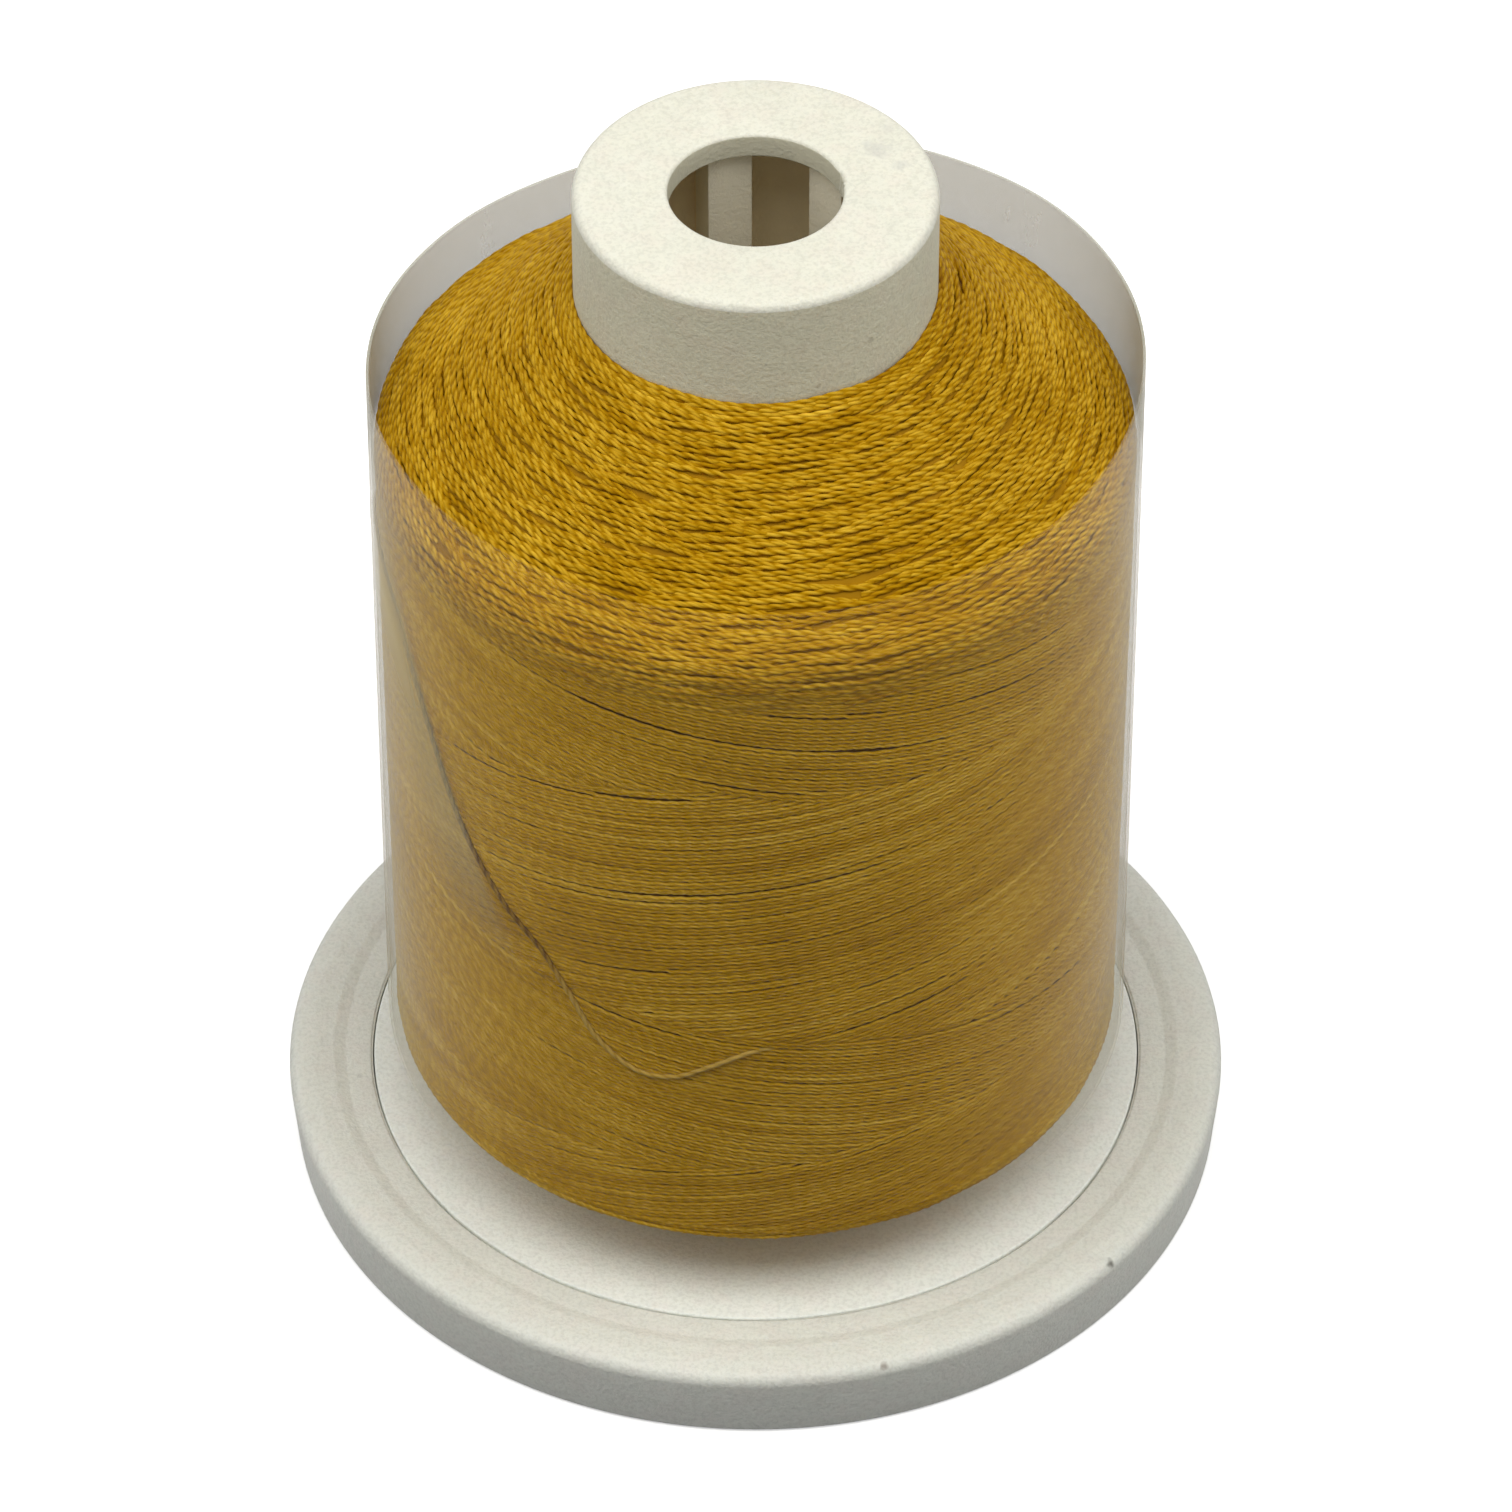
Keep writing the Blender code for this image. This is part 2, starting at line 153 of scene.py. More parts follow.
class Strands:
    """Collects closed tubes of twisted two-ply thread, to be written as one mesh."""

    def __init__(self, angles):
        """angles: where the points of a ring sit, in degrees from the side that faces out."""
        self.phi = np.radians(np.array(angles, float))
        self.sides = len(angles)
        self.verts, self.quads, self.tone, self.crease = [], [], [], []
        self.uv, self.bake = [], []
        self.count, self.rows = 0, 0

    def add(self, centre, normal, radius, twist, phase, tone, azimuth, flat=0.2, share=None):
        """centre, normal: n x 3; radius, tone: n or one number; twist: mm per turn of the plies."""
        n, sides = len(centre), self.sides
        if n < 3:
            return
        along = np.gradient(centre, axis=0)
        length = np.linalg.norm(along, axis=1, keepdims=True)
        along = along / np.maximum(length, 1e-9)
        side = np.cross(along, normal)
        side /= np.maximum(np.linalg.norm(side, axis=1, keepdims=True), 1e-9)
        out = np.cross(side, along)
        run = np.concatenate([[0], np.cumsum(np.linalg.norm(np.diff(centre, axis=0), axis=1))])
        spin = TAU * run / twist + phase
        phi = self.phi
        if sides == 4:
            lean = 0.42 * np.sin(2 * spin)[:, None]
            wave = np.cos(2 * (phi[None, :] - spin[:, None]))
            phi = phi[None, :] + lean * np.array([1, 0.2, 0, 0.2])[None, :]
        else:
            # two plies: full over each ply, pinched in along the crease between them
            wave = 2 * np.abs(np.cos(phi[None, :] - spin[:, None])) ** 0.8 - 1
            phi = np.broadcast_to(phi[None, :], wave.shape)
        r = np.broadcast_to(np.asarray(radius, float), (n,))[:, None] * (1 + flat * wave)
        ring = (centre[:, None, :] + (r * np.cos(phi))[..., None] * out[:, None, :]
                + (r * np.sin(phi))[..., None] * side[:, None, :])
        base = self.count
        idx = base + np.arange(n * sides).reshape(n, sides)
        nxt = np.roll(idx, -1, axis=1)
        body = np.stack([idx[:-1], nxt[:-1], nxt[1:], idx[1:]], -1).reshape(-1, 4)
        self.verts.append(ring.reshape(-1, 3))
        self.tone.append(np.repeat(np.broadcast_to(np.asarray(tone, float), (n,)), sides))
        self.crease.append((0.5 - 0.5 * wave).ravel())
        # Face-corner maps: "strand" runs along and round the thread, "OFBake" packs a turn to a row.
        u0, u1 = run[:-1], run[1:]
        v = np.arange(sides) / sides
        strand = np.stack([
            np.stack(np.broadcast_arrays(u0[:, None], v[None, :]), -1),
            np.stack(np.broadcast_arrays(u0[:, None], v[None, :] + 1 / sides), -1),
            np.stack(np.broadcast_arrays(u1[:, None], v[None, :] + 1 / sides), -1),
            np.stack(np.broadcast_arrays(u1[:, None], v[None, :]), -1)], 2).reshape(-1, 2)
        turns = np.unwrap(azimuth) / TAU
        row = np.floor(turns).astype(int)
        frac = turns - row
        step = np.diff(turns)
        low = np.where(step >= 0, frac[:-1], frac[:-1] + step)
        keep = np.where(low < 0, 1, 0)
        row0 = row[:-1] - keep
        row0 = row0 - row0.min()
        if share is not None:                  # short lengths on one level lie on shared rows
            row0 = np.where(row0 == 0, share, 2)
        a0 = frac[:-1] + keep
        a1 = a0 + step
        self.bake.append((self.rows + row0, a0, a1, v))
        if share is None:
            self.rows += int(row0.max()) + 1
        self.uv.append(strand)
        self.quads.append(body)
        # caps: each end closes on itself with quads
        cap = []
        for ring_idx, flip in ((idx[0], True), (idx[-1], False)):
            order = ring_idx[::-1] if flip else ring_idx
            for k in range(1, sides - 2, 2):
                cap.append([order[0], order[k], order[k + 1], order[k + 2]])
        cap = np.array(cap)
        self.quads.append(cap)
        self.uv.append(np.tile([[0.0, 0.0], [0.01, 0.0], [0.01, 0.01], [0.0, 0.01]], (len(cap), 1)))
        self.bake.append((len(cap), max(self.rows - 1, 0)))
        self.count += n * sides

    def make(self, name, mat, body):
        packed = []
        for b in self.bake:
            if len(b) == 4:
                row, a0, a1, v = b
                h = 1.0 / self.rows
                x0, x1 = a0 * 0.985 + 0.002, a1 * 0.985 + 0.002
                y = (row[:, None] + 0.06 + 0.88 * v[None, :]) * h
                y2 = (row[:, None] + 0.06 + 0.88 * (v[None, :] + 1 / self.sides)) * h
                x0, x1 = np.broadcast_to(x0[:, None], y.shape), np.broadcast_to(x1[:, None], y.shape)
                packed.append(np.stack([np.stack([x0, y], -1), np.stack([x0, y2], -1),
                                        np.stack([x1, y2], -1), np.stack([x1, y], -1)], 2).reshape(-1, 2))
            else:
                k, row = b
                y = (row + 0.5) / self.rows
                packed.append(np.tile([[0.993, y], [0.996, y], [0.996, y + 0.1 / self.rows],
                                       [0.993, y + 0.1 / self.rows]], (k, 1)))
        ob = new_mesh(name, np.concatenate(self.verts), np.concatenate(self.quads),
                      {"tone": np.concatenate(self.tone), "crease": np.concatenate(self.crease)},
                      {"strand": np.concatenate(self.uv), "OFBake": np.concatenate(packed)})
        ob.data.uv_layers.active = ob.data.uv_layers["strand"]
        ob.data.materials.append(mat)
        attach(ob, body)
        return ob


# ------------------------------------------------------------------ node materials
class Nodes:
    def __init__(self, name):
        self.mat = bpy.data.materials.new(name)
        self.mat.use_nodes = True
        self.tree = self.mat.node_tree
        self.shader = self.tree.nodes["Principled BSDF"]
        self.out = self.tree.nodes["Material Output"]

    def add(self, kind, **values):
        node = self.tree.nodes.new(kind)
        for key, value in values.items():
            if hasattr(node, key) and key not in node.inputs:
                setattr(node, key, value)
            else:
                node.inputs[key].default_value = value
        return node

    def link(self, a, b):
        self.tree.links.new(a, b)

    def math(self, op, a, b=0.0, clamp=False):
        node = self.tree.nodes.new("ShaderNodeMath")
        node.operation = op
        node.use_clamp = clamp
        for i, x in enumerate((a, b)):
            if isinstance(x, (int, float)):
                node.inputs[i].default_value = x
            else:
                self.link(x, node.inputs[i])
        return node.outputs[0]

    def ramp(self, value, stops):
        node = self.tree.nodes.new("ShaderNodeValToRGB")
        r = node.color_ramp
        while len(r.elements) < len(stops):
            r.elements.new(0.5)
        for e, (p, c) in zip(r.elements, stops):
            e.position = p
            e.color = (*c, 1) if len(c) == 3 else c
        self.link(value, node.inputs[0])
        return node.outputs[0]

    def noise(self, scale, detail=3.0, rough=0.5, vector=None, stretch=None, distortion=0.0):
        node = self.tree.nodes.new("ShaderNodeTexNoise")
        node.inputs["Scale"].default_value = scale
        node.inputs["Detail"].default_value = detail
        node.inputs["Roughness"].default_value = rough
        node.inputs["Distortion"].default_value = distortion
        if vector is None:
            vector = self.coords()
        if stretch is not None:
            m = self.tree.nodes.new("ShaderNodeMapping")
            m.inputs["Scale"].default_value = stretch
            self.link(vector, m.inputs["Vector"])
            vector = m.outputs[0]
        self.link(vector, node.inputs["Vector"])
        return node.outputs["Fac"]

    def coords(self):
        if not hasattr(self, "_tc"):
            self._tc = self.tree.nodes.new("ShaderNodeTexCoord")
        return self._tc.outputs["Object"]

    def mix(self, fac, a, b, mode="MIX"):
        node = self.tree.nodes.new("ShaderNodeMix")
        node.data_type = "RGBA"
        node.blend_type = mode
        for key, x in ((0, fac), (6, a), (7, b)):
            if isinstance(x, (int, float)):
                node.inputs[key].default_value = x
            elif isinstance(x, tuple):
                node.inputs[key].default_value = (*x, 1)
            else:
                self.link(x, node.inputs[key])
        return node.outputs[2]

    def bump(self, height, strength, distance, normal=None):
        node = self.tree.nodes.new("ShaderNodeBump")
        node.inputs["Strength"].default_value = strength
        node.inputs["Distance"].default_value = distance
        self.link(height, node.inputs["Height"])
        if normal is not None:
            self.link(normal, node.inputs["Normal"])
        return node.outputs[0]


def thread_material(name, light, mid, dark, sheen=0.03, rough=0.42, spec=0.14, crease_shade=0.34):
    m = Nodes(name)
    tone = m.add("ShaderNodeAttribute", attribute_name="tone").outputs["Fac"]
    crease = m.add("ShaderNodeAttribute", attribute_name="crease").outputs["Fac"]
    uv = m.add("ShaderNodeUVMap", uv_map="strand").outputs[0]
    fibre = m.noise(1.0, 3.0, 0.6, uv, (1.6, 34.0, 1.0))
    patch = m.noise(160.0, 3.0, 0.55)
    dye = m.noise(900.0, 2.0, 0.5)
    v = m.math("ADD", m.math("MULTIPLY", tone, 0.5), m.math("MULTIPLY", patch, 0.22))
    v = m.math("ADD", v, m.math("MULTIPLY", dye, 0.14))
    v = m.math("ADD", v, m.math("MULTIPLY", fibre, 0.24))
    # painted shade and highlight: the colour is darker along the crease between the plies and lighter on the ply tops
    v = m.math("SUBTRACT", v, m.math("MULTIPLY", crease, crease_shade), clamp=True)
    colour = m.ramp(v, [(0.10, dark), (0.42, mid), (0.74, light)])
    m.link(colour, m.shader.inputs["Base Color"])
    rv = m.math("ADD", rough - 0.08, m.math("MULTIPLY", fibre, 0.22), clamp=True)
    m.link(rv, m.shader.inputs["Roughness"])
    m.shader.inputs["Specular IOR Level"].default_value = spec
    m.shader.inputs["Specular Tint"].default_value = (1.0, 0.72, 0.22, 1)
    m.shader.inputs["Sheen Weight"].default_value = sheen
    m.shader.inputs["Sheen Roughness"].default_value = 0.4
    m.shader.inputs["Sheen Tint"].default_value = (1.0, 0.66, 0.12, 1)
    m.link(m.bump(fibre, 0.35, 0.00006), m.shader.inputs["Normal"])
    return m.mat


def plastic_material(name, base, shade, rough=0.5, grain=0.3, marks=(), inside=None, low=None):
    """White moulding: slight yellowing in patches, fine matt grain, scuffs and a few dark specks."""
    m = Nodes(name)
    patch = m.noise(55.0, 3.0, 0.55)
    grainy = m.noise(4600.0, 2.0, 0.6)
    mottled = m.noise(1250.0, 4.0, 0.62)
    cloudy = m.noise(330.0, 3.0, 0.6)
    # painted light: the flange and everything below 6 mm get the lighter, cooler colour low
    if low is not None:
        place = m.add("ShaderNodeSeparateXYZ")
        m.link(m.coords(), place.inputs[0])
        down = m.math("LESS_THAN", place.outputs[2], 0.006)
        base_socket, shade_socket = m.mix(down, base, low), m.mix(down, shade, tuple(0.965 * c for c in low))
    else:
        base_socket, shade_socket = base, shade
    colour = m.mix(m.ramp(patch, [(0.3, (0, 0, 0)), (0.75, (1, 1, 1))]), base_socket, shade_socket)
    # light and dark grains of the matt surface, and a faint cloudiness in the styrene
    colour = m.mix(m.ramp(grainy, [(0.36, (0.50,) * 3), (0.55, (0, 0, 0))]), colour, m.mix(1.0, colour, (0.80, 0.80, 0.79), "MULTIPLY"))
    colour = m.mix(m.ramp(mottled, [(0.40, (0.26,) * 3), (0.60, (0, 0, 0))]), colour, m.mix(1.0, colour, (0.89, 0.895, 0.90), "MULTIPLY"))
    colour = m.mix(m.ramp(cloudy, [(0.42, (0.35,) * 3), (0.62, (0, 0, 0))]), colour, m.mix(1.0, colour, (0.945, 0.955, 0.945), "MULTIPLY"))
    # faint pinkish mottling
    hue = m.noise(700.0, 3.0, 0.6)
    colour = m.mix(m.ramp(hue, [(0.38, (0.5,) * 3), (0.55, (0, 0, 0))]), colour, m.mix(1.0, colour, (1.0, 0.955, 0.965), "MULTIPLY"))
    speck = m.noise(420.0, 1.0, 0.4)
    colour = m.mix(m.ramp(speck, [(0.80, (0, 0, 0)), (0.83, (0.35, 0.35, 0.35))]), colour,
                   (0.30, 0.28, 0.23))
    for place, size, strength, tint in marks:
        d = m.add("ShaderNodeVectorMath", operation="DISTANCE")
        wobble = m.noise(1500.0, 2.0, 0.6)
        m.link(m.coords(), d.inputs[0])
        d.inputs[1].default_value = [c * MM for c in place]
        w = m.math("ADD", m.math("DIVIDE", d.outputs["Value"], size * MM),
                   m.math("MULTIPLY", wobble, 0.9))
        colour = m.mix(m.ramp(w, [(0.62, (strength,) * 3), (1.0, (0, 0, 0))]), colour, tint)
    if inside is not None:
        # painted light: the barrel's wall is thin, so light through it, warmed by the thread behind, is painted into
        # its colour inside; the ribs get less of it
        place = m.add("ShaderNodeSeparateXYZ")
        m.link(m.coords(), place.inputs[0])
        x, y, z = place.outputs
        radius = m.math("SQRT", m.math("ADD", m.math("MULTIPLY", x, x), m.math("MULTIPLY", y, y)))
        deep = m.math("MULTIPLY", m.math("LESS_THAN", radius, 0.0084), m.math("LESS_THAN", z, 0.0618))
        rib = m.math("LESS_THAN", radius, 0.0076)
        # painted shade: the collar's upright side is darkened and yellowed in its colour
        painted_side_shade = m.math("MULTIPLY", m.math("GREATER_THAN", radius, 0.00895), m.math("LESS_THAN", z, 0.0629))
        painted_side_shade = m.math("MULTIPLY", painted_side_shade, m.math("GREATER_THAN", z, 0.010))
        colour = m.mix(painted_side_shade, colour, m.mix(1.0, colour, (0.86, 0.84, 0.745), "MULTIPLY"))
        # painted shade: the bore's wall under its top edge is darkened in its colour
        lip = m.math("MULTIPLY", m.math("LESS_THAN", radius, 0.00446), m.math("LESS_THAN", z, 0.06318))
        colour = m.mix(m.math("MULTIPLY", lip, 0.85), colour, (0.60, 0.575, 0.44))
        colour = m.mix(deep, colour, m.mix(rib, inside, tuple(0.35 * a + 0.65 * b for a, b in zip(inside, base))))
    m.link(colour, m.shader.inputs["Base Color"])
    rv = m.math("ADD", rough - 0.1, m.math("MULTIPLY", mottled, 0.2), clamp=True)
    m.link(rv, m.shader.inputs["Roughness"])
    m.shader.inputs["Specular IOR Level"].default_value = 0.45
    m.shader.inputs["Subsurface Weight"].default_value = 0.12
    m.shader.inputs["Subsurface Radius"].default_value = (1.0, 0.9, 0.7)
    m.shader.inputs["Subsurface Scale"].default_value = 0.0012
    h = m.math("ADD", grainy, mottled)
    m.link(m.bump(h, grain, 0.00009), m.shader.inputs["Normal"])
    return m.mat


def film_material(name):
    """Clear film: see-through, glossy and scuffed; where it stands free above the thread at the back, a thick grey veil
    is painted shade.
    """
    m = Nodes(name)
    scuff = m.noise(85.0, 4.0, 0.62, None, (1.0, 1.0, 0.35))
    fine = m.noise(900.0, 3.0, 0.6, None, (1.0, 1.0, 0.5))
    facing = m.add("ShaderNodeLayerWeight", Blend=0.5).outputs["Facing"]
    place = m.add("ShaderNodeSeparateXYZ")
    m.link(m.coords(), place.inputs[0])

    def between(value, low, high):
        node = m.add("ShaderNodeMapRange", interpolation_type="SMOOTHSTEP")
        m.link(value, node.inputs["Value"])
        node.inputs["From Min"].default_value, node.inputs["From Max"].default_value = low, high
        return node.outputs[0]

    # painted shade: at the back, above the thread, a thick dark grey veil darkens the film
    back_veil_shade = m.math("MULTIPLY", between(place.outputs["Z"], 0.0460, 0.0473), between(place.outputs["Y"], -0.0060, 0.0030))
    scuffed = m.ramp(scuff, [(0.42, (0, 0, 0)), (0.8, (1, 1, 1))])
    veil = m.math("ADD", 0.002, m.math("MULTIPLY", m.math("POWER", facing, 4.0), 0.47))
    veil = m.math("ADD", veil, m.math("MULTIPLY", scuffed, 0.010))
    veil = m.math("ADD", veil, m.math("MULTIPLY", back_veil_shade, m.math("ADD", 0.43, m.math("MULTIPLY", fine, 0.02))))
    # where the loose end holds the film off the thread, left of it, the film looks milky
    angle = m.math("MULTIPLY", m.math("ARCTAN2", place.outputs["X"], m.math("MULTIPLY", place.outputs["Y"], -1.0)), -180 / math.pi)
    z_mm = m.math("MULTIPLY", place.outputs["Z"], 1000.0)
    line = m.math("ADD", 30.0, m.math("MULTIPLY", m.math("SUBTRACT", z_mm, 20.0), 1.55))
    off = m.math("SUBTRACT", angle, line)
    lifted = m.math("MULTIPLY", between(off, -0.6, 0.8), m.math("SUBTRACT", 1.0, between(off, 5.0, 24.0)))
    lifted = m.math("MULTIPLY", lifted, m.math("MULTIPLY", between(z_mm, 23.0, 33.0), m.math("SUBTRACT", 1.0, between(z_mm, 41.0, 47.0))))
    veil = m.math("ADD", veil, m.math("MULTIPLY", lifted, 0.20), clamp=True)
    gloss = m.math("ADD", 0.0030, m.math("MULTIPLY", m.math("POWER", facing, 5.0), 0.16))
    m.link(m.mix(back_veil_shade, m.mix(lifted, (0.76, 0.71, 0.53), (0.95, 0.83, 0.47)), (0.445, 0.435, 0.295)), m.shader.inputs["Base Color"])
    m.shader.inputs["Roughness"].default_value = 0.6
    m.shader.inputs["Specular IOR Level"].default_value = 0.0
    rough = m.math("ADD", 0.10, m.math("MULTIPLY", scuff, 0.16))
    normal = m.bump(fine, 0.08, 0.00005)
    clear = m.add("ShaderNodeBsdfTransparent", Color=(1, 1, 1, 1))
    shine = m.add("ShaderNodeBsdfGlossy", Color=(1, 1, 1, 1))
    m.link(rough, shine.inputs["Roughness"])
    m.link(normal, shine.inputs["Normal"])
    first, second = m.add("ShaderNodeMixShader"), m.add("ShaderNodeMixShader")
    m.link(veil, first.inputs[0])
    m.link(clear.outputs[0], first.inputs[1])
    m.link(m.shader.outputs[0], first.inputs[2])
    m.link(gloss, second.inputs[0])
    m.link(first.outputs[0], second.inputs[1])
    m.link(shine.outputs[0], second.inputs[2])
    m.link(second.outputs[0], m.out.inputs["Surface"])
    return m.mat


WHITE = plastic_material(
    # painted light: low is the lighter colour painted onto the flange
    "moulded_white_core", (0.87, 0.86, 0.745), (0.83, 0.812, 0.685), 0.55, 0.5, low=(0.93, 0.955, 0.885),
    # painted light: inside is the warm glow through the thin barrel wall, painted as colour
    inside=(0.95, 0.80, 0.53),
    marks=[((6.1, 3.2, 63.2), 1.7, 0.34, (0.50, 0.50, 0.47)),
           ((7.3, 2.0, 63.2), 1.0, 0.30, (0.48, 0.48, 0.46)),
           ((6.6, 4.9, 63.2), 0.9, 0.26, (0.5, 0.5, 0.47)),
           ((5.7, -7.2, 59.6), 0.36, 0.5, (0.36, 0.33, 0.26)),
           ((0.5, -9.15, 59.6), 0.16, 0.5, (0.36, 0.33, 0.26)),
           ((-6.9, -6.0, 57.9), 0.3, 0.45, (0.4, 0.36, 0.28)),
           ((3.1, -8.6, 57.8), 0.3, 0.4, (0.4, 0.36, 0.28))])
BASE_WHITE = plastic_material(
    "moulded_white_base", (0.815, 0.82, 0.745), (0.775, 0.78, 0.70), 0.53, 0.5,
    marks=[((18.8, -16.8, 4.02), 0.60, 0.9, (0.14, 0.13, 0.11)),
           ((6.7, -24.2, 4.12), 0.46, 0.75, (0.24, 0.19, 0.15)),
           ((-21.5, -2.6, 4.12), 0.42, 0.4, (0.40, 0.40, 0.36)),
           ((4.6, -25.1, 1.6), 0.36, 0.4, (0.3, 0.29, 0.26)),
           ((13.9, -21.0, 1.9), 0.32, 0.35, (0.3, 0.29, 0.26))])
GOLD = dict(light=(0.86, 0.55, 0.046), mid=(0.45, 0.231, 0.0017), dark=(0.25, 0.100, 0.0005))
CONE_THREAD = thread_material("thread_cone", **GOLD, sheen=0.012, spec=0.09)
# painted light: the side's thread, and the underside's, is a lighter copy of the cone's gold with less crease shade
SIDE_THREAD_LIT = thread_material("thread_side", (0.98, 0.68, 0.10), (0.64, 0.355, 0.006), (0.32, 0.145, 0.001), crease_shade=0.24)
# painted shade: a darker copy of the thread, for the layers seen only in the gaps
UNDER_THREAD_SHADE = thread_material("thread_under", (0.80, 0.42, 0.008), (0.34, 0.165, 0.003), (0.115, 0.055, 0.002))
TAIL_THREAD = thread_material("thread_end", (0.60, 0.39, 0.075), (0.40, 0.22, 0.015), (0.13, 0.055, 0.004))
FILM = film_material("clear_film")

# ------------------------------------------------------------------ the winding's surface
TOP = WIND_HI.z + 0.12
PROFILE = rounded([(COLLAR_R + 0.10, TOP, 0), (SIDE_R + 0.13, 48.2, 2.2), (SIDE_R + 0.08, 8.5, 0.9),
                   (WIND_LO.z * 0 + 10.2, 4.75, 0)], closed=False, steps=14)
PROFILE = np.array(PROFILE)
_seg = np.linalg.norm(np.diff(PROFILE, axis=0), axis=1)
_run = np.concatenate([[0], np.cumsum(_seg)])
_dense = np.linspace(0, _run[-1], 4000)
_pr = np.interp(_dense, _run, PROFILE[:, 0])
_pz = np.interp(_dense, _run, PROFILE[:, 1])
_tr, _tz = np.gradient(_pr), np.gradient(_pz)
_tl = np.hypot(_tr, _tz)
_nr, _nz = -_tz / _tl, _tr / _tl          # outward, because the profile runs top to bottom
T_END = _run[-1]


def on_surface(t, az, lift=0.0):
    """Points and outward normals at arc position t down the profile and azimuth az (radians)."""
    r, z = np.interp(t, _dense, _pr), np.interp(t, _dense, _pz)
    nr, nz = np.interp(t, _dense, _nr), np.interp(t, _dense, _nz)
    c, s = np.cos(az), np.sin(az)
    n = np.stack([nr * c, nr * s, nz], -1)
    p = np.stack([r * c, r * s, z], -1) + n * np.asarray(lift)[..., None]
    return p, n


def t_at_z(z):
    order = np.argsort(_pz)
    return np.interp(z, _pz[order], _dense[order])


T_SHOULDER = float(t_at_z(47.0))
T_FOOT = float(t_at_z(9.3))


def spiral(store, t0, t1, pitch, step, rng, radius, tone0, wiggle, lift_amp, twist, start=None):
    """One long strand laid round and round from t0 to t1."""
    turns = abs(t1 - t0) / pitch
    # advance so that the step along the strand stays even although the radius changes
    az, t, out = 0.0, t0, []
    rr = np.interp(np.linspace(t0, t1, 400), _dense, _pr)
    mean = float(np.mean(rr))
    n = int(turns * TAU * mean / step) + 2
    share = np.linspace(0, 1, 2000)
    rs = np.interp(t0 + (t1 - t0) * share, _dense, _pr)
    length = np.concatenate([[0], np.cumsum(0.5 * (rs[1:] + rs[:-1]) * TAU * turns * np.diff(share))])
    s = np.linspace(0, length[-1], n)
    sh = np.interp(s, length, share)
    az = sh * turns * TAU + (rng.uniform(0, TAU) if start is None else start)
    t = t0 + (t1 - t0) * sh
    ds = s[1] - s[0]
    t = t + wiggle * (0.55 * wander(rng, n, ds, 2.2) + 0.7 * wander(rng, n, ds, 6.5))
    lift = CENTRE_OUT + lift_amp * wander(rng, n, ds, 2.8)
    t = np.clip(t, 0.0, T_END)
    p, nn = on_surface(t, az, lift)
    tone = tone0 + 0.17 * wander(rng, n, ds, 14.0) + 0.1 * wander(rng, n, ds, 3.0)
    store.add(p, nn, radius, twist, rng.uniform(0, TAU), tone, az)


def turning(store, t_mid, az_mid, half, bend, tilt, rng, radius, tone0, top, share, step=0.16, twist=1.6):
    """The short arc where a thread turns back at the end of its traverse: on top at its
    highest point, with both legs running down and under the layers laid later."""
    r = float(np.interp(t_mid, _dense, _pr))
    n = int(2 * half / step) + 2
    s = np.linspace(-half, half, n)
    az = az_mid + s / r
    t = t_mid + s ** 2 / (2 * bend) + tilt * s + 0.022 * wander(rng, n, step, 2.4)
    x = np.abs(s) / half
    lift = CENTRE_OUT + top - (top + 0.17) * x ** 2.2 + 0.012 * wander(rng, n, step, 1.6)
    p, nn = on_surface(np.clip(t, 0.0, T_SHOULDER + 2.2), az, lift)
    store.add(p, nn, radius, twist, rng.uniform(0, TAU), tone0 + 0.05 * wander(rng, n, step, 2.5), az, flat=0.30, share=share)


rng = np.random.default_rng(7)
pieces_of_thread = []
UPPER_RING = (-112, -72, -42, -14, 14, 42, 72, 112)
SIDE_RING = (0, 90, 180, 270)
# Cone and shoulder: equal lengths of thread, so that each piece stays light.
CONE_PIECES = 7
_t = np.linspace(0.0, T_SHOULDER + 0.9, 500)
_len = np.concatenate([[0], np.cumsum(np.interp(0.5 * (_t[1:] + _t[:-1]), _dense, _pr) * np.diff(_t))])
marks_t = np.interp(np.linspace(0, _len[-1], CONE_PIECES + 1), _len, _t)
for k in range(CONE_PIECES):
    st = Strands(UPPER_RING)
    rows = int((marks_t[k + 1] - marks_t[k]) / 0.180) + 1
    for j in range(rows):
        t_row = marks_t[k] + (j + 0.5) * (marks_t[k + 1] - marks_t[k]) / rows
        r_row = float(np.interp(t_row, _dense, _pr))
        count = 2 * int(round(TAU * r_row / 5.1 / 2))
        turn = rng.uniform(0, 1)
        for i in range(count):
            near = math.exp(-t_row / 1.6)        # a little looser beside the collar
            calm = 0.85 - 0.35 * float(ease(t_row, T_SHOULDER - 3.6, T_SHOULDER - 1.0))
            turning(st, t_row + rng.normal() * 0.085, (turn + (i + rng.uniform(-0.28, 0.28)) / count) * TAU,
                    rng.uniform(2.4, 4.2), rng.uniform(11.0, 22.0), rng.normal() * 0.035, rng,
                    0.118 + 0.004 * rng.normal(), 0.46 + 0.075 * calm * rng.normal(),
                    rng.uniform(0.0, 0.075) * calm + 0.03 * near, i % 2)
        st.rows += 3
    if k == 0:                                   # the last turns against the collar
        spiral(st, 0.0, 0.88, 0.22, 0.16, rng, 0.120, 0.44, 0.025, 0.02, 1.6, start=math.radians(90))
    ob = st.make(f"thread_cone_{k + 1}", CONE_THREAD, "spool")
    pieces_of_thread.append(ob)

# Underside: coarser, as it is always in shade.
st = Strands(SIDE_RING)
spiral(st, T_FOOT - 0.2, T_END - 0.1, 0.235, 0.22, rng, 0.122, 0.40, 0.05, 0.03, 1.2)
pieces_of_thread.append(st.make("thread_underside", SIDE_THREAD_LIT, "spool"))

# ------------------------------------------------------------------ side: two crossing families
PITCH = 19.8                               # rise of a thread in one turn, mm
SLOPE = PITCH / 360.0                      # the same, mm per degree
Z_LOW, Z_HIGH = 8.75, 47.35
SPACING = 0.2435

